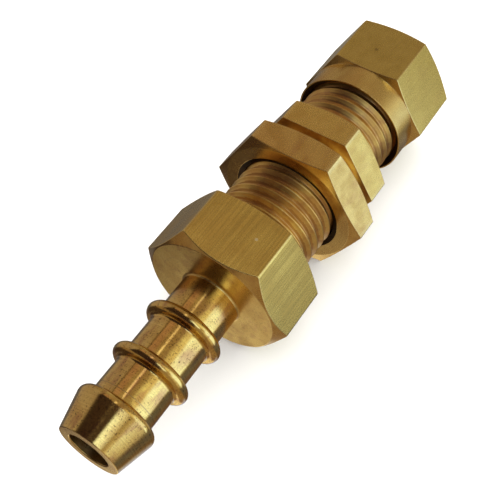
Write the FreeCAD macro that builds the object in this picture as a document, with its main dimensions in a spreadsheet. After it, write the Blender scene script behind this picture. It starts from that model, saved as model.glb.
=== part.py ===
# Brass tank connector: hose nozzle on a bulkhead body, with a lock nut and a compression tube end.
# X runs along the flow axis from the hose end to the tube end, Z is up, millimetres throughout.
# The origin is on the axis, at the face of the body's hexagon that bears on the tank wall.
import FreeCAD, Part
import os

import Sketcher

doc = FreeCAD.newDocument("tank_connector")
sheet = doc.addObject("Spreadsheet::Sheet", "Sizes")

# Driving sizes, in millimetres and degrees.
driving_sizes = [
    # Tube end
    ("tube_diameter", 8.0),
    ("tube_clearance", 0.1),
    ("tube_socket_length", 5.0),
    ("nut_hole_clearance", 0.2),
    # Olive, a ring with a taper at each end
    ("olive_bore_clearance", 0.05),
    ("olive_edge", 0.4),
    ("olive_thickness", 1.1),
    ("olive_taper", 2.0),
    ("olive_land", 1.6),
    ("olive_seat_clearance", 0.05),
    # Threads, drawn as plain shanks at the crest diameter
    ("thread_wall", 1.65),
    ("thread_clearance", 0.08),
    ("thread_end_chamfer", 0.8),
    # Hexagons
    ("hex_face_inset", 0.5),
    ("hex_chamfer_angle", 22.0),
    # Bulkhead body
    ("body_hex_step", 1.1),
    ("body_hex_thickness", 4.2),
    ("bulkhead_thread_length", 19.7),
    ("tube_thread_length", 10.8),
    ("body_flow_bore", 6.0),
    # Lock nut
    ("lock_nut_wall", 2.52),
    ("lock_nut_thickness", 4.33),
    ("lock_face_inset", 0.2),
    ("lock_face_angle", 14.4),
    ("lock_nut_countersink", 0.4),
    ("lock_nut_countersink_depth", 0.9),
    ("panel_gap", 1.97),
    # Compression nut
    ("skirt_wall", 0.92),
    ("skirt_length", 3.5),
    ("skirt_lip", 0.17),
    ("nut_flat_step", 0.1),
    ("nut_shoulder_slope", 0.25),
    ("nut_thread_depth", 6.8),
    ("nut_floor", 5.9),
    ("nut_mouth_chamfer", 0.4),
    # Sealing washer
    ("washer_thickness", 1.2),
    ("washer_face_clearance", 0.03),
    ("washer_edge_clearance", 0.15),
    ("washer_hole", 6.6),
    # Hose nozzle
    ("nozzle_bore", 5.3),
    ("nozzle_bore_chamfer", 0.15),
    ("tip_wall", 1.43),
    ("tip_cone_length", 4.75),
    ("tip_round", 0.9),
    ("stem_wall", 1.36),
    ("barb_height", 1.2),
    ("bead_round", 0.78),
    ("bead_root", 0.35),
    ("tip_to_bead", 5.5),
    ("bead_pitch", 6.43),
    ("bead_to_hex", 5.76),
    ("stem_root", 0.35),
    ("nozzle_hex_wall", 2.02),
    ("nozzle_face_inset", 0.15),
    ("nozzle_face_angle", 36.8),
    ("nozzle_floor", 2.39),
    ("socket_depth", 6.5),
    ("socket_mouth_chamfer", 0.5),
    ("nozzle_turn", 7.3),
]

# Round edges are turned as this many narrow facets to a quarter turn, and a round takes at most
# this share of the height of its barb or bead, so that a short wall is left below it.
round_facets = 3
quarter_turn = 90
round_share = 0.9

# The corners of a hexagon lie at 0.577 of its width across flats, and its profile is turned just past them.
hex_reach = 0.6

for row, (alias, number) in enumerate(driving_sizes, start=1):
    sheet.set(f"A{row}", alias)
    sheet.set(f"B{row}", str(number))
    sheet.setAlias(f"B{row}", alias)
doc.recompute()

# Measures that several pieces share, worked out from the driving sizes.
tube_r = "(Sizes.tube_diameter / 2 + Sizes.tube_clearance)"
olive_bore_r = "(Sizes.tube_diameter / 2 + Sizes.olive_bore_clearance)"
olive_end_r = f"({tube_r} + Sizes.olive_edge)"
olive_land_r = f"({tube_r} + Sizes.olive_thickness)"
olive_length = "(2 * Sizes.olive_taper + Sizes.olive_land)"
taper_slope = "((Sizes.olive_thickness - Sizes.olive_edge) / Sizes.olive_taper)"
seat_mouth_r = f"({olive_land_r} + Sizes.olive_seat_clearance)"
thread_r = f"({seat_mouth_r} + Sizes.thread_wall)"
thread_hole_r = f"({thread_r} + Sizes.thread_clearance)"


def cone_depth(throat_r):
    """Depth of a tapered seat that narrows from the olive's land down to a hole of radius throat_r."""
    return f"(({seat_mouth_r} - {throat_r}) / {taper_slope})"


def hex_corner_r(across_flats):
    """Radius that clears the corners of a hexagon, so that its bar reaches every edge."""
    return f"({hex_reach} * {across_flats})"


def hex_face_r(across_flats, inset="Sizes.hex_face_inset"):
    """Radius of the round flat left on a chamfered hexagon's end."""
    return f"({across_flats} / 2 - {inset})"


def hex_chamfer_length(across_flats, inset="Sizes.hex_face_inset", angle="Sizes.hex_chamfer_angle"):
    """Length along the axis of a hexagon's end chamfer, out to its corners."""
    rise = f"({hex_corner_r(across_flats)} - {hex_face_r(across_flats, inset)})"
    return f"({rise} * tan({angle} * 1 deg))"


def measure(expression):
    """Present value of an expression, in millimetres."""
    return float(sheet.evalExpression(expression))


def corner(x, r):
    """Corner of a turned profile: its place along the axis and its radius."""
    return x, r


def quarter_round(centre_x, centre_r, radius, from_angle):
    """Corners along a convex quarter circle that runs clockwise from from_angle, as narrow turned facets."""
    corners = []
    for facet in range(round_facets + 1):
        angle = from_angle - facet * quarter_turn / round_facets
        x = f"({centre_x} + {radius} * cos({angle} deg))"
        r = f"({centre_r} + {radius} * sin({angle} deg))"
        corners.append(corner(x, r))
    return corners


def draw_profile(name, corners):
    """Sketch of a closed half section, drawn corner by corner, each tied to the sheet."""
    sketch = doc.addObject("Sketcher::SketchObject", name)
    spots = [FreeCAD.Vector(measure(x), measure(r), 0) for x, r in corners]
    for index, spot in enumerate(spots):
        sketch.addGeometry(Part.LineSegment(spots[index - 1], spot))
    for index in range(len(corners)):
        following = (index + 1) % len(corners)
        sketch.addConstraint(Sketcher.Constraint("Coincident", index, 2, following, 1))
    for index, (x, r) in enumerate(corners):
        if x == "0":
            sketch.addConstraint(Sketcher.Constraint("PointOnObject", index, 2, -2))
        else:
            tie(sketch, Sketcher.Constraint("DistanceX", -1, 1, index, 2, spots[index].x), x)
        tie(sketch, Sketcher.Constraint("DistanceY", -1, 1, index, 2, spots[index].y), r)
    return sketch


def tie(sketch, constraint, expression):
    """Add a dimension to a sketch and bind it to the sheet."""
    number = sketch.addConstraint(constraint)
    sketch.setExpression(f"Constraints[{number}]", expression)


def turn(name, corners):
    """Solid of revolution about X from a closed half section."""
    turned = doc.addObject("Part::Revolution", name)
    turned.Source = draw_profile(f"{name}_profile", corners)
    turned.Axis = FreeCAD.Vector(1, 0, 0)
    turned.Base = FreeCAD.Vector(0, 0, 0)
    turned.Angle = 360
    turned.Solid = True
    return turned


def turn_from_hex_bar(name, across_flats, length, corners):
    """Piece turned from a hexagon bar along X that lies on one of its flats."""
    bar = doc.addObject("Part::Prism", f"{name}_bar")
    bar.Polygon = 6
    bar.setExpression("Circumradius", f"{across_flats} / 2 / cos(30 deg)")
    bar.setExpression("Height", length)
    # A third of a turn about the space diagonal lays the bar's own Z axis along X.
    bar.Placement.Rotation = FreeCAD.Rotation(FreeCAD.Vector(1, 1, 1), 120)
    piece = doc.addObject("Part::Common", name)
    piece.Base = bar
    piece.Tool = turn(f"{name}_turned", corners)
    return piece


# Bulkhead body, drawn from its hose end: long thread, hexagon, tube thread with the olive's seat.
body_flats = f"(2 * ({thread_r} + Sizes.body_hex_step))"
body_length = "(Sizes.bulkhead_thread_length + Sizes.body_hex_thickness + Sizes.tube_thread_length)"
body_hex_end = "(Sizes.bulkhead_thread_length + Sizes.body_hex_thickness)"
thread_tip_r = f"({thread_r} - Sizes.thread_end_chamfer)"
tube_seat_x = f"({body_length} - {cone_depth(tube_r)})"
tube_stop_x = f"({tube_seat_x} - Sizes.tube_socket_length)"
flow_r = "(Sizes.body_flow_bore / 2)"
body = turn_from_hex_bar("bulkhead_body", body_flats, body_length, [
    corner("0", flow_r),
    corner("0", thread_tip_r),
    corner("Sizes.thread_end_chamfer", thread_r),
    corner("Sizes.bulkhead_thread_length", thread_r),
    corner("Sizes.bulkhead_thread_length", hex_corner_r(body_flats)),
    corner(f"{body_hex_end} - {hex_chamfer_length(body_flats)}", hex_corner_r(body_flats)),
    corner(body_hex_end, hex_face_r(body_flats)),
    corner(body_hex_end, thread_r),
    corner(f"{body_length} - Sizes.thread_end_chamfer", thread_r),
    corner(body_length, thread_tip_r),
    corner(body_length, seat_mouth_r),
    corner(tube_seat_x, tube_r),
    corner(tube_stop_x, tube_r),
    corner(tube_stop_x, flow_r),
])
body.setExpression("Placement.Base.x", "-Sizes.bulkhead_thread_length")

# Lock nut, slightly chamfered on the hose side and more on the side that meets the tank wall.
lock_flats = f"(2 * ({thread_hole_r} + Sizes.lock_nut_wall))"
lock_front = ("Sizes.lock_face_inset", "Sizes.lock_face_angle")
lock_chamfer_x = f"(Sizes.lock_nut_thickness - {hex_chamfer_length(lock_flats)})"
lock_nut = turn_from_hex_bar("lock_nut", lock_flats, "Sizes.lock_nut_thickness", [
    corner("0", f"{thread_hole_r} + Sizes.lock_nut_countersink"),
    corner("0", hex_face_r(lock_flats, "Sizes.lock_face_inset")),
    corner(hex_chamfer_length(lock_flats, *lock_front), hex_corner_r(lock_flats)),
    corner(lock_chamfer_x, hex_corner_r(lock_flats)),
    corner("Sizes.lock_nut_thickness", hex_face_r(lock_flats)),
    corner("Sizes.lock_nut_thickness", thread_hole_r),
    corner("Sizes.lock_nut_countersink_depth", thread_hole_r),
])
lock_nut.setExpression("Placement.Base.x", "-Sizes.panel_gap - Sizes.lock_nut_thickness")

# Olive, held between the body's seat and the nut's seat.
body_end_x = "(Sizes.body_hex_thickness + Sizes.tube_thread_length)"
olive = turn("olive", [
    corner("0", olive_bore_r),
    corner("0", olive_end_r),
    corner("Sizes.olive_taper", olive_land_r),
    corner("Sizes.olive_taper + Sizes.olive_land", olive_land_r),
    corner(olive_length, olive_end_r),
    corner(olive_length, olive_bore_r),
])
olive.setExpression("Placement.Base.x", f"{body_end_x} - Sizes.olive_taper")

# Compression nut, drawn from the mouth of its skirt to its tube hole.
skirt_r = f"({thread_hole_r} + Sizes.skirt_wall)"
nut_flats = f"(2 * ({skirt_r} + Sizes.nut_flat_step))"
nut_length = "(Sizes.nut_thread_depth + Sizes.nut_floor)"
nut_hole_r = "(Sizes.tube_diameter / 2 + Sizes.nut_hole_clearance)"
shoulder_rise = f"({hex_corner_r(nut_flats)} - {skirt_r})"
mouth_depth = "(Sizes.skirt_wall - Sizes.skirt_lip)"
compression_nut = turn_from_hex_bar("compression_nut", nut_flats, nut_length, [
    corner("0", f"{skirt_r} - Sizes.skirt_lip"),
    corner("0", skirt_r),
    corner("Sizes.skirt_length", skirt_r),
    corner(f"Sizes.skirt_length + {shoulder_rise} * Sizes.nut_shoulder_slope", hex_corner_r(nut_flats)),
    corner(f"{nut_length} - {hex_chamfer_length(nut_flats)}", hex_corner_r(nut_flats)),
    corner(nut_length, hex_face_r(nut_flats)),
    corner(nut_length, f"{nut_hole_r} + Sizes.nut_mouth_chamfer"),
    corner(f"{nut_length} - Sizes.nut_mouth_chamfer", nut_hole_r),
    corner(f"Sizes.nut_thread_depth + {cone_depth(nut_hole_r)}", nut_hole_r),
    corner("Sizes.nut_thread_depth", seat_mouth_r),
    corner("Sizes.nut_thread_depth", thread_hole_r),
    corner(mouth_depth, thread_hole_r),
])
nut_shoulder_x = f"({body_end_x} + Sizes.olive_land)"
compression_nut.setExpression("Placement.Base.x", f"{nut_shoulder_x} - Sizes.nut_thread_depth")

# Sealing washer, between the end of the long thread and the floor of the nozzle's socket.
washer_r = f"({thread_hole_r} - Sizes.washer_edge_clearance)"
washer_hole_r = "(Sizes.washer_hole / 2)"
washer_x = "(-Sizes.bulkhead_thread_length - Sizes.washer_face_clearance - Sizes.washer_thickness)"
washer = turn("sealing_washer", [
    corner("0", washer_hole_r),
    corner("0", washer_r),
    corner("Sizes.washer_thickness", washer_r),
    corner("Sizes.washer_thickness", washer_hole_r),
])
washer.setExpression("Placement.Base.x", washer_x)

# Hose nozzle, drawn from its tip: barb, two beads on the stem, hexagon with the threaded socket.
nozzle_flats = f"(2 * ({thread_hole_r} + Sizes.nozzle_hex_wall))"
nozzle_front = ("Sizes.nozzle_face_inset", "Sizes.nozzle_face_angle")
nozzle_bore_r = "(Sizes.nozzle_bore / 2)"
tip_r = f"({nozzle_bore_r} + Sizes.tip_wall)"
stem_r = f"({nozzle_bore_r} + Sizes.stem_wall)"
barb_r = f"({stem_r} + Sizes.barb_height)"
shoulder_round = f"min(Sizes.tip_round; {round_share} * Sizes.barb_height)"
bead_round = f"min(Sizes.bead_round; {round_share} * Sizes.barb_height)"
barb_end_x = f"(Sizes.tip_cone_length + {shoulder_round})"
first_bead_x = f"({barb_end_x} + Sizes.tip_to_bead)"
second_bead_x = f"({first_bead_x} + Sizes.bead_pitch)"
hex_front_x = f"({second_bead_x} + Sizes.bead_to_hex)"
socket_floor_x = f"({hex_front_x} + Sizes.nozzle_floor)"
nozzle_length = f"({socket_floor_x} + Sizes.socket_depth)"


def bead(centre_x):
    """Rounded bead on the stem, with a sloping root on the side that the hose comes from."""
    side_r = f"({barb_r} - {bead_round})"
    return [
        corner(f"({centre_x} - {bead_round} - Sizes.bead_root)", stem_r),
        *quarter_round(centre_x, side_r, bead_round, 180),
        *quarter_round(centre_x, side_r, bead_round, 90)[1:],
        corner(f"({centre_x} + {bead_round})", stem_r),
    ]


shoulder_r = f"({barb_r} - {shoulder_round})"
nozzle = turn_from_hex_bar("hose_nozzle", nozzle_flats, nozzle_length, [
    corner("Sizes.nozzle_bore_chamfer", nozzle_bore_r),
    corner("0", f"{nozzle_bore_r} + Sizes.nozzle_bore_chamfer"),
    corner("0", tip_r),
    *quarter_round("Sizes.tip_cone_length", shoulder_r, shoulder_round, 90),
    corner(barb_end_x, stem_r),
    *bead(first_bead_x),
    *bead(second_bead_x),
    corner(f"{hex_front_x} - Sizes.stem_root", stem_r),
    corner(hex_front_x, f"{stem_r} + Sizes.stem_root"),
    corner(hex_front_x, hex_face_r(nozzle_flats, "Sizes.nozzle_face_inset")),
    corner(f"{hex_front_x} + {hex_chamfer_length(nozzle_flats, *nozzle_front)}", hex_corner_r(nozzle_flats)),
    corner(f"{nozzle_length} - {hex_chamfer_length(nozzle_flats)}", hex_corner_r(nozzle_flats)),
    corner(nozzle_length, hex_face_r(nozzle_flats)),
    corner(nozzle_length, f"{thread_hole_r} + Sizes.socket_mouth_chamfer"),
    corner(f"{nozzle_length} - Sizes.socket_mouth_chamfer", thread_hole_r),
    corner(socket_floor_x, thread_hole_r),
    corner(socket_floor_x, nozzle_bore_r),
])
nozzle.Placement.Rotation = FreeCAD.Rotation(FreeCAD.Vector(1, 0, 0), measure("Sizes.nozzle_turn"))
nozzle.setExpression("Placement.Rotation.Angle", "Sizes.nozzle_turn")
nozzle.setExpression("Placement.Base.x", f"{washer_x} - Sizes.washer_face_clearance - {socket_floor_x}")

pieces = [body, lock_nut, olive, compression_nut, washer, nozzle]
for piece in pieces:
    piece.Label = piece.Name
doc.recompute()

for item in doc.Objects:
    if "Invalid" in item.State or "Error" in item.State:
        raise RuntimeError(f"{item.Label} did not build")
for piece in pieces:
    if piece.Shape.isNull() or not piece.Shape.isValid():
        raise RuntimeError(f"{piece.Label} has no valid solid")

os.makedirs("parts", exist_ok=True)
for piece in pieces:
    piece.Shape.exportStep(f"parts/{piece.Label}.step")
    box = piece.Shape.BoundBox
    print(f"{piece.Label}: x {box.XMin:.2f} to {box.XMax:.2f}, {piece.Shape.Volume:.0f} cubic mm")
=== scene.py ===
import bpy
import math
from mathutils import Matrix, Vector


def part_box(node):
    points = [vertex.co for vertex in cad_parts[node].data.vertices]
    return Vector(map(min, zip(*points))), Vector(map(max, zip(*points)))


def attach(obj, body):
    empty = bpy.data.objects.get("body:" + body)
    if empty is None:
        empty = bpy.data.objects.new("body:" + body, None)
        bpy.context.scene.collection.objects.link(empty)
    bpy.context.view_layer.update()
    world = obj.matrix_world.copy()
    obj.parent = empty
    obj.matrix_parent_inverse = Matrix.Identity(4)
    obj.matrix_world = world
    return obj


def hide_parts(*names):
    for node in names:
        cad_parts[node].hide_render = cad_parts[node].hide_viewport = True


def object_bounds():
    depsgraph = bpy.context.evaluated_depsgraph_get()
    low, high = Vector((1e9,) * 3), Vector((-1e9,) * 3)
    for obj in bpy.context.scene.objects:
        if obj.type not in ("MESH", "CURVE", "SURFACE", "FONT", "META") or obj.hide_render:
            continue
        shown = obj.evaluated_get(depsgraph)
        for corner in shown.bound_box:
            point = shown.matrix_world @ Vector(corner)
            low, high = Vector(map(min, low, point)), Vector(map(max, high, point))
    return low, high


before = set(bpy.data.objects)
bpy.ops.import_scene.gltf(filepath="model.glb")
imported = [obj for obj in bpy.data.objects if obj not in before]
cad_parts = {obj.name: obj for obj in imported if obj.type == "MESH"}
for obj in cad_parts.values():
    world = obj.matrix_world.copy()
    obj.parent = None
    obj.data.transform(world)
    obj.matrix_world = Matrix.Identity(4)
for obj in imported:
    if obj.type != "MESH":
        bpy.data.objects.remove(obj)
cadLow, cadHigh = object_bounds()
mm = 0.001  # every size below is in millimetres
print("frame loaded:", ", ".join(sorted(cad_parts)))


def span(node):  # where a CAD piece starts and ends along the axis
    low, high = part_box(node)
    return low.x / mm, high.x / mm


# brass finishes: base and deep are the two tones that the patches drift between, scales are per millimetre,
# spread is how far the gloss is drawn out across the tool marks
faceMarks = dict(lines="turned", spread=0.3, patchScale=0.35, lineScale=5.0, lineDepth=0.002,
                 grainScale=12.0, grainDepth=0.002, pits=0.08)
flatMarks = dict(lines="drawn", spread=0.0, patchScale=0.5, lineScale=3.0, lineDepth=0.001, lineTint=0.12,
                 grainScale=8.0, grainDepth=0.005, pits=0.05)
threadMarks = dict(lines="turned", spread=0.0, patchScale=0.45, lineScale=12.0, lineDepth=0.001, lineTint=0.1,
                   grainScale=14.0, grainDepth=0.001, pits=0.0)
brassLooks = {
    "turnedBrass": dict(base=(0.92, 0.66, 0.215), deep=(0.79, 0.51, 0.16), rough=0.14, spread=0.8,
                        patchScale=0.5, lines="turned", lineScale=5.0, lineDepth=0.002, lineTint=0.28,
                        grainScale=14.0, grainDepth=0.0015, pits=0.2, stains=0.65),
    "skirtBrass": dict(base=(0.86, 0.63, 0.24), deep=(0.76, 0.52, 0.19), rough=0.25, spread=0.5,
                       patchScale=0.35, lines="turned", lineScale=6.0, lineDepth=0.002, lineTint=0.12,
                       grainScale=12.0, grainDepth=0.001, pits=0.03, stains=0.2),
    "frontBrass": dict(faceMarks, base=(0.92, 0.68, 0.25), deep=(0.82, 0.57, 0.2), rough=0.3, lineTint=0.15,
                       stains=0.35),
    "faceBrass": dict(faceMarks, base=(0.85, 0.61, 0.24), deep=(0.73, 0.48, 0.17), rough=0.2, lineTint=0.18,
                      stains=0.3),
    "drawnBrass": dict(base=(0.87, 0.65, 0.2), deep=(0.78, 0.55, 0.16), rough=0.27, spread=0.4,
                       patchScale=0.3, lines="drawn", lineScale=6.0, lineDepth=0.006, lineTint=0.5,
                       grainScale=11.0, grainDepth=0.002, pits=0.06, stains=0.0,
                       # the pale mark is a painted glint on the nozzle hexagon's top flat
                       marks=[dict(at=(-18.23, -3.42, 8.64), size=0.25, tone=(1.0, 0.95, 0.75))]),
    "lockBrass": dict(flatMarks, base=(0.78, 0.55, 0.2), deep=(0.69, 0.46, 0.155), rough=0.24, stains=0.3),
    "sandyBrass": dict(flatMarks, base=(0.86, 0.63, 0.215), deep=(0.76, 0.53, 0.17), rough=0.26, stains=0.15),
    "dullBrass": dict(flatMarks, base=(0.76, 0.57, 0.19), deep=(0.68, 0.5, 0.16), rough=0.23, stains=0.1,
                      marks=[dict(at=(17.31, 0.51, 8.0), size=0.32, tone=(0.3, 0.2, 0.07))]),
    "threadBrass": dict(threadMarks, base=(0.95, 0.68, 0.23), deep=(0.82, 0.51, 0.17), rough=0.33, stains=0.4),
    "shortThreadBrass": dict(threadMarks, base=(0.86, 0.59, 0.19), deep=(0.74, 0.46, 0.15), rough=0.42,
                             stains=0.4),
    # darker, redder tone painted as shade in the thread roots
    "rootShadeBrass": dict(threadMarks, base=(0.7, 0.42, 0.15), deep=(0.56, 0.31, 0.11), rough=0.36, stains=0.5),
    # darker tone painted as shade inside bores, seats, sockets and the stem's scribed groove
    "boreShadeBrass": dict(base=(0.7, 0.5, 0.22), deep=(0.55, 0.37, 0.15), rough=0.28, spread=0.3,
                      patchScale=0.4, lines="turned", lineScale=6.0, lineDepth=0.004, lineTint=0.2,
                      grainScale=12.0, grainDepth=0.002, pits=0.0, stains=0.2),
    # near-black painted shade for the thread mouths: the lock nut's hole and countersink and the compression nut's
    # mouth
    "mouthShadeBrass": dict(base=(0.1, 0.06, 0.03), deep=(0.05, 0.03, 0.016), rough=0.55, spread=0.0,
                       patchScale=0.6, lines="turned", lineScale=6.0, lineDepth=0.003, lineTint=0.2,
                       grainScale=12.0, grainDepth=0.003, pits=0.0, stains=0.0),
}
wornTone = (0.93, 0.75, 0.38)  # rubbed edges
pitTone = (0.07, 0.04, 0.02)
stainTone = (0.5, 0.25, 0.12)


def feed(tree, socket, value):  # links an output, or sets a plain number, tone or vector
    if isinstance(value, bpy.types.NodeSocket):
        tree.links.new(value, socket)
    elif socket.type == "RGBA":
        socket.default_value = (*value, 1.0)
    else:
        socket.default_value = value


def newNode(tree, kind, **inputs):
    node = tree.nodes.new(kind)
    for name, value in inputs.items():
        feed(tree, node.inputs[name.replace("_", " ")], value)
    return node


def mathNode(tree, operation, first, second=0.0):
    node = tree.nodes.new("ShaderNodeMath")
    node.operation = operation
    feed(tree, node.inputs[0], first)
    feed(tree, node.inputs[1], second)
    return node.outputs[0]


def vectorNode(tree, operation, first, second):
    node = tree.nodes.new("ShaderNodeVectorMath")
    node.operation = operation
    feed(tree, node.inputs[0], first)
    feed(tree, node.inputs[1], second)
    return node.outputs["Value" if operation in ("DISTANCE", "DOT_PRODUCT") else "Vector"]


def mixTones(tree, factor, first, second):
    node = tree.nodes.new("ShaderNodeMix")
    node.data_type = "RGBA"
    for index, value in ((0, factor), (6, first), (7, second)):  # the sockets that an RGBA mix uses
        feed(tree, node.inputs[index], value)
    return node.outputs[2]


def remap(tree, value, stretch, toLow, toHigh):
    low, high = stretch
    node = newNode(tree, "ShaderNodeMapRange", Value=value, From_Min=low, From_Max=high, To_Min=toLow,
                   To_Max=toHigh)
    node.interpolation_type = "SMOOTHSTEP"
    return node.outputs[0]


def noiseAt(tree, place, scale, detail=2.0):
    return newNode(tree, "ShaderNodeTexNoise", Vector=place, Scale=scale, Detail=detail).outputs[0]


def pieceMillimetres(tree):  # the place on the piece, which moves with it
    coords = tree.nodes.new("ShaderNodeTexCoord")
    return vectorNode(tree, "MULTIPLY", coords.outputs["Object"], (1.0 / mm,) * 3)


# how the marks lie on all the brass: a stretch is the part of the noise in which a mark comes up
brassMarks = dict(patchStretch=(0.35, 0.65), scoreStretch=(0.35, 0.65), scoreShade=0.55,
                  speckleShare=0.4, fleckStretch=(0.4, 0.7), fleckMost=0.22, fleckShade=0.8,
                  drawnOut=(0.015, 1.0, 1.0), streakOut=(0.3, 1.0, 1.0), streakScale=0.8,
                  streakStretch=(0.5, 0.68), rubStretch=(0.3, 0.6), rubLeast=0.25, rubMost=0.65,
                  pitScale=1.7, pitRarity=5.0, pitEdge=(-0.03, 0.03), pitMost=0.8,
                  speckScale=5.5, speckDrift=0.25, speckStretch=(0.72, 0.8), speckGain=3.0, speckMost=0.6,
                  markMost=0.9, glossStretch=(0.3, 0.7), glossFall=0.04, glossRise=0.05,
                  dullStretch=(0.4, 0.7), dullMost=0.05)
turnedAcross, drawnAcross = 0.25, 0.0  # which way the gloss is drawn out, in turns


def toolLines(tree, place, look):
    if look["lines"] == "drawn":  # along the bar
        linePlace = vectorNode(tree, "MULTIPLY", place, brassMarks["drawnOut"])
    else:  # rings round the axis, on sides and on end faces alike
        parts = newNode(tree, "ShaderNodeSeparateXYZ", Vector=place)
        squareY = mathNode(tree, "MULTIPLY", parts.outputs[1], parts.outputs[1])
        squareZ = mathNode(tree, "MULTIPLY", parts.outputs[2], parts.outputs[2])
        radius = mathNode(tree, "SQRT", mathNode(tree, "ADD", squareY, squareZ))
        linePlace = newNode(tree, "ShaderNodeCombineXYZ", X=mathNode(tree, "ADD", parts.outputs[0], radius)).outputs[0]
    return noiseAt(tree, linePlace, look["lineScale"], detail=4.0)


def pitted(tree, place, patches, pits, tone):  # tiny dark pits and specks, thick in some places, rare in others
    m = brassMarks
    cells = newNode(tree, "ShaderNodeTexVoronoi", Vector=place, Scale=m["pitScale"])
    picked = newNode(tree, "ShaderNodeSeparateColor", Color=cells.outputs["Color"]).outputs[0]
    reach = mathNode(tree, "MULTIPLY", mathNode(tree, "POWER", picked, m["pitRarity"]), pits)
    dots = mathNode(tree, "SUBTRACT", reach, cells.outputs["Distance"])
    tone = mixTones(tree, remap(tree, dots, m["pitEdge"], 0.0, m["pitMost"]), tone, pitTone)
    drift = mathNode(tree, "MULTIPLY", patches, m["speckDrift"])
    specks = mathNode(tree, "ADD", noiseAt(tree, place, m["speckScale"]), drift)
    shown = min(m["speckMost"], m["speckGain"] * pits)
    return mixTones(tree, remap(tree, specks, m["speckStretch"], 0.0, shown), tone, pitTone)


def makeBrass(name, look):
    m = brassMarks
    material = bpy.data.materials.new(name)
    material.use_nodes = True
    tree = material.node_tree
    shader = tree.nodes["Principled BSDF"]
    shader.inputs["Metallic"].default_value = 1.0
    shader.inputs["Anisotropic"].default_value = look["spread"]
    shader.inputs["Anisotropic Rotation"].default_value = turnedAcross if look["lines"] == "turned" else drawnAcross
    tangent = tree.nodes.new("ShaderNodeTangent")  # round the axis
    tangent.direction_type = "RADIAL"
    tangent.axis = "X"
    feed(tree, shader.inputs["Tangent"], tangent.outputs[0])
    place = pieceMillimetres(tree)
    lines = toolLines(tree, place, look)
    grain = noiseAt(tree, place, look["grainScale"])
    patches = noiseAt(tree, place, look["patchScale"], detail=4.0)
    speckle = noiseAt(tree, place, look["grainScale"] * m["speckleShare"])

    tone = mixTones(tree, remap(tree, patches, m["patchStretch"], 0.0, 1.0), look["base"], look["deep"])
    fleck = remap(tree, speckle, m["fleckStretch"], 0.0, m["fleckMost"])
    tone = mixTones(tree, fleck, tone, tuple(m["fleckShade"] * c for c in look["deep"]))
    score = remap(tree, lines, m["scoreStretch"], look["lineTint"], 0.0)  # darker tool marks
    tone = mixTones(tree, score, tone, tuple(m["scoreShade"] * c for c in look["deep"]))
    if look["stains"] > 0.0:  # reddish tarnish in streaks along the axis
        streakPlace = vectorNode(tree, "MULTIPLY", place, m["streakOut"])
        streaks = noiseAt(tree, streakPlace, m["streakScale"], detail=5.0)
        tone = mixTones(tree, remap(tree, streaks, m["streakStretch"], 0.0, look["stains"]), tone, stainTone)
    wear = tree.nodes.new("ShaderNodeAttribute")
    wear.attribute_name = "edgeWear"
    rub = remap(tree, speckle, m["rubStretch"], m["rubLeast"], m["rubMost"])
    tone = mixTones(tree, mathNode(tree, "MULTIPLY", wear.outputs["Fac"], rub), tone, wornTone)
    if look["pits"] > 0.0:
        tone = pitted(tree, place, patches, look["pits"], tone)
    for mark in look.get("marks", []):  # single spots: a pale painted glint on the nozzle's flat, a dark spot on the compression nut's flat
        gap = vectorNode(tree, "DISTANCE", place, mark["at"])
        shown = remap(tree, gap, (0.5 * mark["size"], mark["size"]), m["markMost"], 0.0)
        tone = mixTones(tree, shown, tone, mark["tone"])
    feed(tree, shader.inputs["Base Color"], tone)
    gloss = remap(tree, grain, m["glossStretch"], look["rough"] - m["glossFall"], look["rough"] + m["glossRise"])
    dulled = remap(tree, patches, m["dullStretch"], 0.0, m["dullMost"])
    feed(tree, shader.inputs["Roughness"], mathNode(tree, "ADD", gloss, dulled))

    bump = newNode(tree, "ShaderNodeBump", Height=grain, Distance=look["grainDepth"] * mm)
    bump = newNode(tree, "ShaderNodeBump", Height=lines, Distance=look["lineDepth"] * mm, Normal=bump.outputs[0])
    feed(tree, shader.inputs["Normal"], bump.outputs[0])
    return material


rubberLook = dict(dark=(0.018, 0.018, 0.018), pale=(0.04, 0.038, 0.036), rough=0.7, mottleScale=1.4,
                  mottleDepth=0.01)


def makeRubber(name):
    material = bpy.data.materials.new(name)
    material.use_nodes = True
    tree = material.node_tree
    shader = tree.nodes["Principled BSDF"]
    shader.inputs["Roughness"].default_value = rubberLook["rough"]
    mottle = noiseAt(tree, pieceMillimetres(tree), rubberLook["mottleScale"], detail=3.0)
    feed(tree, shader.inputs["Base Color"], mixTones(tree, mottle, rubberLook["dark"], rubberLook["pale"]))
    bump = newNode(tree, "ShaderNodeBump", Height=mottle, Distance=rubberLook["mottleDepth"] * mm)
    feed(tree, shader.inputs["Normal"], bump.outputs[0])
    return material


finishes = {name: makeBrass(name, look) for name, look in brassLooks.items()}
finishes["washerRubber"] = makeRubber("washerRubber")
print("finishes made:", len(finishes))


# a section is a closed ring of points (x, r, finish, soft): finish is for the stretch after the point,
# soft is how far its corner is rounded
def softened(section, steps=3):
    sideShare = 0.45  # a round takes no more of a side than this
    ring = []
    count = len(section)
    for index, (x, r, finish, soft) in enumerate(section):
        if soft == 0.0:
            ring.append((x, r, finish, 0.0))
            continue
        px, pr = section[index - 1][:2]
        nx, nr = section[(index + 1) % count][:2]
        before = math.hypot(px - x, pr - r)
        after = math.hypot(nx - x, nr - r)
        back = min(soft, sideShare * before) / before
        ahead = min(soft, sideShare * after) / after
        ax, ar = x + (px - x) * back, r + (pr - r) * back
        bx, br = x + (nx - x) * ahead, r + (nr - r) * ahead
        for step in range(steps + 1):
            t = step / steps
            sx = (1 - t) ** 2 * ax + 2 * t * (1 - t) * x + t * t * bx
            sr = (1 - t) ** 2 * ar + 2 * t * (1 - t) * r + t * t * br
            ring.append((sx, sr, finish, 1.0 if 0 < step < steps else 0.0))
    return ring


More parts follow.
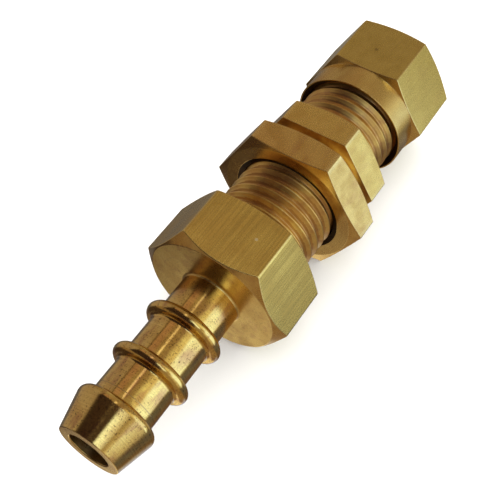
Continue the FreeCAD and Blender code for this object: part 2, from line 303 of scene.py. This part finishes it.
def roundPoints(centreX, centreR, radius, fromAngle, toAngle, finish, steps):
    points = []
    for step in range(steps + 1):
        angle = math.radians(fromAngle + (toAngle - fromAngle) * step / steps)
        points.append((centreX + radius * math.cos(angle), centreR + radius * math.sin(angle), finish, 0.0))
    return points


def slopeOf(degrees):
    return math.tan(math.radians(degrees))


# how far a hexagon's round end face stays inside its flats, and the slope of its corners
endChamfer = dict(inset=0.5, slope=slopeOf(22.0))
cornerCos = math.cos(math.radians(30.0))  # from the middle of a flat to its corner


def chamferLength(hexR, flats, inset, slope):
    return (hexR - flats / 2 + inset) * slope


def cornerTangent(sizes):  # the corner round's centre, and where it meets the flat in degrees from the corner
    cornerRound = sizes["cornerRound"]
    centre = (sizes["flats"] / 2 - cornerRound) / cornerCos
    return centre, math.degrees(math.atan2(cornerRound / 2, centre + cornerRound * cornerCos))


def hexRadius(angle, sizes):
    away = abs((angle - sizes["turn"] + 30.0) % 60.0 - 30.0)  # from the nearest corner
    centre, tangent = cornerTangent(sizes)
    if away < tangent:
        away = math.radians(away)
        return centre * math.cos(away) + math.sqrt(sizes["cornerRound"] ** 2 - (centre * math.sin(away)) ** 2)
    return sizes["flats"] / 2 / math.cos(math.radians(30.0 - away))


def hexAngles(sizes, flatSteps=22):
    tangent = cornerTangent(sizes)[1]
    angles = []
    for side in range(6):
        corner = sizes["turn"] + 60.0 * side
        angles += [corner - 0.5 * tangent, corner, corner + 0.5 * tangent]
        angles += [corner + tangent + (60.0 - 2 * tangent) * step / flatSteps for step in range(flatSteps + 1)]
    return angles


def roundAngles(count=144):
    return [360.0 * index / count for index in range(count)]


def surfaceNormals(sectionAt, angle, ring):  # from the section's own slope along the axis and round it
    nudge = 0.05
    sweep = math.radians(2 * nudge)
    ahead, behind = softened(sectionAt(angle + nudge)), softened(sectionAt(angle - nudge))
    cosine, sine = math.cos(math.radians(angle)), math.sin(math.radians(angle))
    outward, onward = Vector((0, cosine, sine)), Vector((0, -sine, cosine))
    normals = []
    for index, here in enumerate(ring):
        roundIt = Vector(((ahead[index][0] - behind[index][0]) / sweep, 0, 0))
        roundIt += outward * ((ahead[index][1] - behind[index][1]) / sweep) + onward * here[1]
        normal = Vector((0, 0, 0))
        for near, far in ((ring[index - 1], here), (here, ring[(index + 1) % len(ring)])):
            stretch = Vector((far[0] - near[0], 0, 0)) + outward * (far[1] - near[1])
            if stretch.length > 1e-6:
                normal += roundIt.cross(stretch).normalized() * stretch.length ** 2  # long stretches stay flat
        normals.append(normal.normalized())
    return normals


boreR = 3.0  # edges nearer to the axis than this aren't rubbed


def spin(name, sectionAt, angles, rubbedR=math.inf):  # hexagon corners beyond rubbedR are rubbed
    rings = [softened(sectionAt(angle)) for angle in angles]
    size = len(rings[0])
    names = []
    for point in rings[0]:
        if point[2] not in names:
            names.append(point[2])
    points = []
    normals = []
    wear = []
    for angle, ring in zip(angles, rings):
        cosine, sine = math.cos(math.radians(angle)), math.sin(math.radians(angle))
        for x, r, finish, edge in ring:
            points.append((x * mm, r * cosine * mm, r * sine * mm))
            wear.append(1.0 if r > rubbedR or edge and r > boreR else 0.0)
        normals += surfaceNormals(sectionAt, angle, ring)
    faces = []
    slots = []
    for turn in range(len(angles)):
        here, there = turn * size, (turn + 1) % len(angles) * size
        for index in range(size):
            following = (index + 1) % size
            faces.append((here + index, there + index, there + following, here + following))
            slots.append(names.index(rings[turn][index][2]))
    mesh = bpy.data.meshes.new(name)
    mesh.from_pydata(points, [], faces)
    mesh.polygons.foreach_set("material_index", slots)
    mesh.attributes.new("edgeWear", "FLOAT", "POINT").data.foreach_set("value", wear)
    mesh.shade_smooth()
    mesh.normals_split_custom_set_from_vertices(normals)
    piece = bpy.data.objects.new(name, mesh)
    bpy.context.scene.collection.objects.link(piece)
    for finish in names:
        mesh.materials.append(finishes[finish])
    print(name, "spun:", len(faces), "faces")
    return piece


def settle(piece, body, node):
    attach(piece, body)
    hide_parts(node)


# right-handed threads, the short one cut less deep and fading out more slowly
thread = dict(crestR=6.9, pitch=1.5, sharpness=0.05, stepsPerTurn=20, leadIn=0.8, rootShare=0.65, holeR=6.98)
longThread = dict(depth=0.68, runOut=0.9, finish="threadBrass")
shortThread = dict(depth=0.45, runOut=1.6, finish="shortThreadBrass")


def threadRadius(x, angle, depth):
    phase = 2 * math.pi * (x / thread["pitch"] - angle / 360.0)
    rise = 0.5 + (0.5 - thread["sharpness"]) * math.cos(phase) + thread["sharpness"] * math.cos(3 * phase)
    return thread["crestR"] - depth * (1.0 - rise)


def threadPoints(fromX, toX, endX, runOutX, angle, cut):  # chamfered at endX, fades out at runOutX
    count = max(2, round(abs(toX - fromX) / thread["pitch"] * thread["stepsPerTurn"]))
    points = []
    for index in range(count + 1):
        x = fromX + (toX - fromX) * index / count
        r = threadRadius(x, angle, cut["depth"] * min(1.0, abs(x - runOutX) / cut["runOut"]))
        # points deep in a groove take the root finish, which is painted shade in the thread roots
        inRoot = thread["crestR"] - r > thread["rootShare"] * cut["depth"]
        r = min(r, thread["crestR"] - thread["leadIn"] + abs(x - endX))
        points.append((x, r, "rootShadeBrass" if inRoot else cut["finish"], 0.0))
    return points


# bulkhead body: long thread, thin hexagon, short thread with the olive's seat
bodyStart, bodyEnd = span("bulkhead_body")
bodySizes = dict(flats=16.0, cornerRound=0.2, turn=0.0, hexBack=4.2, flowR=3.0, tubeR=4.1, seatMouthR=5.25,
                 seatDepth=3.29, socketLength=5.0, edge=0.1, mouthEdge=0.06, rubbedR=9.17)


def bodySection(angle):
    s = bodySizes
    hexR = hexRadius(angle, s)
    faceR = s["flats"] / 2 - endChamfer["inset"]
    chamferX = s["hexBack"] - chamferLength(hexR, s["flats"], **endChamfer)
    seatX = bodyEnd - s["seatDepth"]
    stopX = seatX - s["socketLength"]
    section = [(bodyStart, s["flowR"], "faceBrass", s["mouthEdge"])]
    section += threadPoints(bodyStart, 0.0, bodyStart, 0.0, angle, longThread)
    section += [(0.0, hexR, "sandyBrass", s["edge"]),
                (chamferX, hexR, "faceBrass", s["edge"]),
                (s["hexBack"], faceR, "faceBrass", s["edge"])]
    section += threadPoints(s["hexBack"], bodyEnd, bodyEnd, s["hexBack"], angle, shortThread)
    # the seat, tube socket and bore inside are painted darker as shade
    section += [(bodyEnd, s["seatMouthR"], "boreShadeBrass", s["mouthEdge"]),
                (seatX, s["tubeR"], "boreShadeBrass", 0.0),
                (stopX, s["tubeR"], "boreShadeBrass", 0.0),
                (stopX, s["flowR"], "boreShadeBrass", s["mouthEdge"])]
    return section


body = spin("bulkhead_body_brass", bodySection, hexAngles(bodySizes), bodySizes["rubbedR"])
settle(body, "body", "bulkhead_body")


# lock nut: flat countersunk face towards the hose, chamfered towards the tank wall
lockStart, lockEnd = span("lock_nut")
lockSizes = dict(flats=19.0, cornerRound=0.2, turn=0.0, front=dict(inset=0.2, slope=slopeOf(14.4)),
                 countersink=0.65, sinkDepth=0.2, edge=0.08, sinkEdge=0.03, sinkFloorEdge=0.02, holeEdge=0.05,
                 rubbedR=10.9)


def lockSection(angle):
    s = lockSizes
    hexR = hexRadius(angle, s)
    frontR, backR = s["flats"] / 2 - s["front"]["inset"], s["flats"] / 2 - endChamfer["inset"]
    holeR = thread["holeR"]
    return [(lockStart, holeR + s["countersink"], "faceBrass", s["sinkEdge"]),
            (lockStart, frontR, "faceBrass", s["edge"]),
            (lockStart + chamferLength(hexR, s["flats"], **s["front"]), hexR, "lockBrass", s["edge"]),
            (lockEnd - chamferLength(hexR, s["flats"], **endChamfer), hexR, "faceBrass", s["edge"]),
            (lockEnd, backR, "faceBrass", s["edge"]),
            # the hole and its countersink are painted near-black as shade
            (lockEnd, holeR, "mouthShadeBrass", s["holeEdge"]),
            (lockStart + s["sinkDepth"], holeR, "mouthShadeBrass", s["sinkFloorEdge"])]


lockNut = spin("lock_nut_brass", lockSection, hexAngles(lockSizes), lockSizes["rubbedR"])
settle(lockNut, "lock_nut", "lock_nut")


# compression nut: round skirt with a thin chamfered lip, hexagon, tube hole
nutStart, nutEnd = span("compression_nut")
nutSizes = dict(flats=16.0, cornerRound=0.25, turn=0.0, skirtR=7.9, skirtLength=3.5, lip=0.17,
                shoulderSlope=0.25, threadDepth=6.8, seatMouthR=5.25, seatDepth=3.0, holeR=4.2, holeChamfer=0.4,
                edge=0.1, lipEdge=0.04, skirtEdge=0.08, shoulderEdge=0.04, holeEdge=0.05, rubbedR=9.17)


def nutSection(angle):
    s = nutSizes
    hexR = hexRadius(angle, s)
    faceR = s["flats"] / 2 - endChamfer["inset"]
    mouthDepth = s["skirtR"] - s["lip"] - thread["holeR"]
    shoulderX = nutStart + s["skirtLength"]
    floorX = nutStart + s["threadDepth"]
    return [(nutStart, s["skirtR"] - s["lip"], "skirtBrass", s["lipEdge"]),
            (nutStart, s["skirtR"], "skirtBrass", s["skirtEdge"]),
            (shoulderX, s["skirtR"], "skirtBrass", s["shoulderEdge"]),
            (shoulderX + (hexR - s["skirtR"]) * s["shoulderSlope"], hexR, "dullBrass", s["edge"]),
            (nutEnd - chamferLength(hexR, s["flats"], **endChamfer), hexR, "faceBrass", s["edge"]),
            (nutEnd, faceR, "faceBrass", s["edge"]),
            (nutEnd, s["holeR"] + s["holeChamfer"], "faceBrass", s["holeEdge"]),
            # the hole, seat and thread bore inside are painted darker as shade
            (nutEnd - s["holeChamfer"], s["holeR"], "boreShadeBrass", s["holeEdge"]),
            (floorX + s["seatDepth"], s["holeR"], "boreShadeBrass", 0.0),
            (floorX, s["seatMouthR"], "boreShadeBrass", 0.0),
            (floorX, thread["holeR"], "boreShadeBrass", 0.0),
            # the mouth's chamfer is painted near-black as shade
            (nutStart + mouthDepth, thread["holeR"], "mouthShadeBrass", 0.0)]


nut = spin("compression_nut_brass", nutSection, hexAngles(nutSizes), nutSizes["rubbedR"])
settle(nut, "compression_nut", "compression_nut")


# olive: ring with a taper at each end
oliveStart, oliveEnd = span("olive")
oliveSizes = dict(boreR=4.05, endR=4.5, landR=5.2, taper=2.0, edge=0.12, boreEdge=0.06)


def oliveSection(angle):
    s = oliveSizes
    return [(oliveStart, s["boreR"], "skirtBrass", s["boreEdge"]),
            (oliveStart, s["endR"], "skirtBrass", s["edge"]),
            (oliveStart + s["taper"], s["landR"], "skirtBrass", s["edge"]),
            (oliveEnd - s["taper"], s["landR"], "skirtBrass", s["edge"]),
            (oliveEnd, s["endR"], "skirtBrass", s["edge"]),
            # the olive's bore is painted darker as shade
            (oliveEnd, s["boreR"], "boreShadeBrass", s["boreEdge"])]


olive = spin("olive_ring", oliveSection, roundAngles())
settle(olive, "olive", "olive")


# sealing washer, in the bottom of the nozzle's socket
washerStart, washerEnd = span("sealing_washer")
washerSizes = dict(holeR=3.3, outerR=6.83, edge=0.15)


def washerSection(angle):
    s = washerSizes
    return [(washerStart, s["holeR"], "washerRubber", s["edge"]),
            (washerStart, s["outerR"], "washerRubber", s["edge"]),
            (washerEnd, s["outerR"], "washerRubber", s["edge"]),
            (washerEnd, s["holeR"], "washerRubber", s["edge"])]


washer = spin("sealing_washer_ring", washerSection, roundAngles())
settle(washer, "sealing_washer", "sealing_washer")


# hose nozzle: barb tip, stem with two beads, hexagon with the threaded socket
nozzleStart, nozzleEnd = span("hose_nozzle")
nozzleSizes = dict(flats=18.0, cornerRound=0.5, turn=7.3, boreR=2.65, boreChamfer=0.15, tipR=4.08,
                   coneLength=4.75, barbR=5.21, tipRound=0.9, tipRoundFrom=103, stemR=4.01, beadRound=0.78,
                   beadRoot=0.4, firstBead=11.15, beadPitch=6.43, scribeAt=6.6, scribeHalf=0.06,
                   scribeDepth=0.05, stemRoot=0.3, hexFront=23.34, front=dict(inset=0.15, slope=slopeOf(36.8)),
                   socketDepth=6.5, socketChamfer=0.5, edge=0.07, tipEdge=0.12, socketEdge=0.06, floorEdge=0.05,
                   rubbedR=10.3)


def beadPoints(centreX, s):
    sideR = s["barbR"] - s["beadRound"]
    rootX, rootR = centreX - s["beadRound"] - s["beadRoot"], s["stemR"] + s["beadRoot"]
    points = roundPoints(rootX, rootR, s["beadRoot"], -90, 0, "turnedBrass", steps=5)
    points += roundPoints(centreX, sideR, s["beadRound"], 180, 0, "turnedBrass", steps=14)
    return points + [(centreX + s["beadRound"], s["stemR"], "turnedBrass", 0.0)]


def nozzleSection(angle):
    s = nozzleSizes
    hexR = hexRadius(angle, s)
    frontR, backR = s["flats"] / 2 - s["front"]["inset"], s["flats"] / 2 - endChamfer["inset"]
    shoulderX, shoulderR = nozzleStart + s["coneLength"], s["barbR"] - s["tipRound"]
    scribeX = nozzleStart + s["scribeAt"]
    beadX = nozzleStart + s["firstBead"]
    hexX = nozzleStart + s["hexFront"]
    section = [(nozzleStart + s["boreChamfer"], s["boreR"], "faceBrass", 0.0),
               (nozzleStart, s["boreR"] + s["boreChamfer"], "faceBrass", 0.0),
               (nozzleStart, s["tipR"], "turnedBrass", s["tipEdge"])]
    section += roundPoints(shoulderX, shoulderR, s["tipRound"], s["tipRoundFrom"], 0, "turnedBrass", steps=9)
    section += [(shoulderX + s["tipRound"], s["stemR"], "turnedBrass", 0.0),
                # the scribed groove is painted darker as shade
                (scribeX - s["scribeHalf"], s["stemR"], "boreShadeBrass", 0.0),
                (scribeX, s["stemR"] - s["scribeDepth"], "boreShadeBrass", 0.0),
                (scribeX + s["scribeHalf"], s["stemR"], "turnedBrass", 0.0)]
    section += beadPoints(beadX, s) + beadPoints(beadX + s["beadPitch"], s)
    section += roundPoints(hexX - s["stemRoot"], s["stemR"] + s["stemRoot"], s["stemRoot"], -90, 0, "frontBrass",
                           steps=4)
    section += [(hexX, frontR, "faceBrass", s["edge"]),
                (hexX + chamferLength(hexR, s["flats"], **s["front"]), hexR, "drawnBrass", s["edge"]),
                (nozzleEnd - chamferLength(hexR, s["flats"], **endChamfer), hexR, "faceBrass", s["edge"]),
                (nozzleEnd, backR, "faceBrass", s["edge"]),
                # the socket inside and the bore are painted darker as shade
                (nozzleEnd, thread["holeR"] + s["socketChamfer"], "boreShadeBrass", s["socketEdge"]),
                (nozzleEnd - s["socketChamfer"], thread["holeR"], "boreShadeBrass", 0.0),
                (nozzleEnd - s["socketDepth"], thread["holeR"], "boreShadeBrass", 0.0),
                (nozzleEnd - s["socketDepth"], s["boreR"], "boreShadeBrass", s["floorEdge"])]
    return section


nozzle = spin("hose_nozzle_brass", nozzleSection, hexAngles(nozzleSizes), nozzleSizes["rubbedR"])
settle(nozzle, "hose_nozzle", "hose_nozzle")


# studio: pale floor, soft light from above for the floor, and a room for the metal to mirror
studio = dict(floorSize=20.0, floorTone=(0.92, 0.92, 0.91), floorRough=0.9, lampTilt=10.0, lampSpread=150.0,
              lampPower=5.0, backdrop=(1.0, 1.0, 1.0))  # the floor's size is in metres
roomTones = [  # from straight down at -1 to straight up at 1, and the tone there
    (-1.0, (0.17, 0.11, 0.06)),
    (-0.6, (0.14, 0.14, 0.16)),
    (-0.1, (0.28, 0.2, 0.12)),
    (0.3, (0.32, 0.26, 0.18)),
    (1.0, (0.36, 0.28, 0.17)),
]
# cards in the room, later ones in front: bearing from +X towards -Y, height, roll, width, height and soft edge
# are all in degrees
cards = dict(
    sideWall=dict(bearing=-85, height=10, roll=10, wide=55, tall=70, soft=6, tone=(0.38, 0.32, 0.28)),
    dimCorner=dict(bearing=-150, height=-36, roll=0, wide=80, tall=42, soft=2.5, tone=(0.06, 0.04, 0.03)),
    woodenBoard=dict(bearing=155, height=-35, roll=0, wide=60, tall=100, soft=7, tone=(0.34, 0.25, 0.15)),
    table=dict(bearing=-142, height=-75, roll=0, wide=16, tall=35, soft=3, tone=(0.95, 0.85, 0.6)),
    darkEnd=dict(bearing=-160, height=50, roll=0, wide=80, tall=74, soft=3, tone=(0.04, 0.025, 0.025)),
    curtain=dict(bearing=110, height=5, roll=0, wide=25, tall=50, soft=8, tone=(0.65, 0.6, 0.45)),
    windowWall=dict(bearing=65, height=20, roll=-20, wide=35, tall=80, soft=8, tone=(0.88, 0.86, 0.6)),
    window=dict(bearing=75, height=5, roll=-15, wide=44, tall=48, soft=5, tone=(1.2, 1.5, 1.8)),
    windowPost=dict(bearing=43, height=-8, roll=0, wide=13, tall=34, soft=3, tone=(0.4, 0.37, 0.2)),
    skylight=dict(bearing=123, height=51, roll=0, wide=18, tall=30, soft=3, tone=(1.3, 1.6, 1.9)),
    brick=dict(bearing=-50, height=57, roll=0, wide=22, tall=22, soft=4, tone=(0.42, 0.27, 0.2)),
    ceilingBeam=dict(bearing=-75, height=50, roll=-10, wide=45, tall=3, soft=1.5, tone=(0.04, 0.03, 0.02)),
    tubeLamp=dict(bearing=5, height=80, roll=0, wide=6, tall=28, soft=2, tone=(1.4, 1.3, 1.1)),
    tubeEndCard=dict(bearing=0, height=-15, roll=0, wide=60, tall=60, soft=8, tone=(0.55, 0.5, 0.38)),
    sheetBelow=dict(bearing=25, height=-85, roll=0, wide=40, tall=12, soft=5, tone=(0.55, 0.6, 0.8)),
)


def makeFloor():
    mesh = bpy.data.meshes.new("floor")
    half = studio["floorSize"] / 2
    corners = [(-half, -half, 0), (half, -half, 0), (half, half, 0), (-half, half, 0)]
    mesh.from_pydata(corners, [], [(0, 1, 2, 3)])
    floor = bpy.data.objects.new("floor", mesh)
    bpy.context.scene.collection.objects.link(floor)
    floor.location.z = cadLow.z
    floor.visible_glossy = False  # the metal mirrors the room, not the floor
    material = bpy.data.materials.new("floorPaper")
    material.use_nodes = True
    shader = material.node_tree.nodes["Principled BSDF"]
    shader.inputs["Base Color"].default_value = (*studio["floorTone"], 1.0)
    shader.inputs["Roughness"].default_value = studio["floorRough"]
    shader.inputs["Specular IOR Level"].default_value = 0.0
    mesh.materials.append(material)


def cardMask(tree, direction, card):
    grazing, clear = 0.02, 0.1  # a card fades out before it is seen edge-on
    bearing, height, roll = (math.radians(card[key]) for key in ("bearing", "height", "roll"))
    middle = Vector((math.cos(height) * math.cos(bearing), -math.cos(height) * math.sin(bearing), math.sin(height)))
    level = Vector((-math.sin(bearing), -math.cos(bearing), 0))
    upright = middle.cross(level) if middle.cross(level).z > 0 else level.cross(middle)
    aside = level * math.cos(roll) + upright * math.sin(roll)
    upward = upright * math.cos(roll) - level * math.sin(roll)
    facing = vectorNode(tree, "DOT_PRODUCT", direction, middle)
    mask = remap(tree, facing, (grazing, clear), 0.0, 1.0)
    for axis, spread in ((aside, card["wide"]), (upward, card["tall"])):
        offset = mathNode(tree, "DIVIDE", vectorNode(tree, "DOT_PRODUCT", direction, axis),
                          mathNode(tree, "MAXIMUM", facing, grazing))
        inner, outer = slopeOf(max(0.0, spread / 2 - card["soft"])), slopeOf(spread / 2 + card["soft"])
        edge = remap(tree, mathNode(tree, "ABSOLUTE", offset), (inner, outer), 1.0, 0.0)
        mask = mathNode(tree, "MULTIPLY", mask, edge)
    return mask


def makeRoom():
    world = bpy.data.worlds.new("room")
    bpy.context.scene.world = world
    world.use_nodes = True
    tree = world.node_tree
    tree.nodes.clear()
    direction = tree.nodes.new("ShaderNodeTexCoord").outputs["Generated"]
    height = newNode(tree, "ShaderNodeSeparateXYZ", Vector=direction).outputs[2]
    light = roomTones[0][1]
    for (low, _), (high, tone) in zip(roomTones, roomTones[1:]):
        light = mixTones(tree, remap(tree, height, (low, high), 0.0, 1.0), light, tone)
    for card in cards.values():
        light = mixTones(tree, cardMask(tree, direction, card), light, card["tone"])
    room = newNode(tree, "ShaderNodeBackground", Color=light)
    plain = newNode(tree, "ShaderNodeBackground", Color=studio["backdrop"])  # what shows behind the floor
    rays = tree.nodes.new("ShaderNodeLightPath")
    mix = tree.nodes.new("ShaderNodeMixShader")
    for socket, source in zip(mix.inputs, (rays.outputs["Is Camera Ray"], room.outputs[0], plain.outputs[0])):
        feed(tree, socket, source)
    newNode(tree, "ShaderNodeOutputWorld", Surface=mix.outputs[0])


def makeLamp():
    data = bpy.data.lights.new("floorLamp", "SUN")  # even all over the floor
    data.angle = math.radians(studio["lampSpread"])
    data.energy = studio["lampPower"]
    lamp = bpy.data.objects.new("floorLamp", data)
    lamp.rotation_euler = (-math.radians(studio["lampTilt"]), 0, 0)
    lamp.visible_glossy = False
    bpy.context.scene.collection.objects.link(lamp)


makeFloor()
makeRoom()
makeLamp()
bpy.context.scene.view_settings.view_transform = "Standard"
print("studio ready")


# camera at the photograph's angle
view = dict(place=(-66.4, -36.8, 90.8), right=(0.5528, -0.8330, -0.0234), up=(0.6915, 0.4428, 0.5707),
            lens=63.41, sensor=36.0, nearest=1.0)


def makeCamera():
    data = bpy.data.cameras.new("camera")
    data.lens = view["lens"]
    data.sensor_width = view["sensor"]
    data.clip_start = view["nearest"] * mm
    camera = bpy.data.objects.new("camera", data)
    right, up = Vector(view["right"]), Vector(view["up"])
    pose = Matrix((right, up, right.cross(up))).transposed().to_4x4()
    pose.translation = Vector(view["place"]) * mm
    camera.matrix_world = pose
    bpy.context.scene.collection.objects.link(camera)
    bpy.context.scene.camera = camera


makeCamera()
print("camera placed")
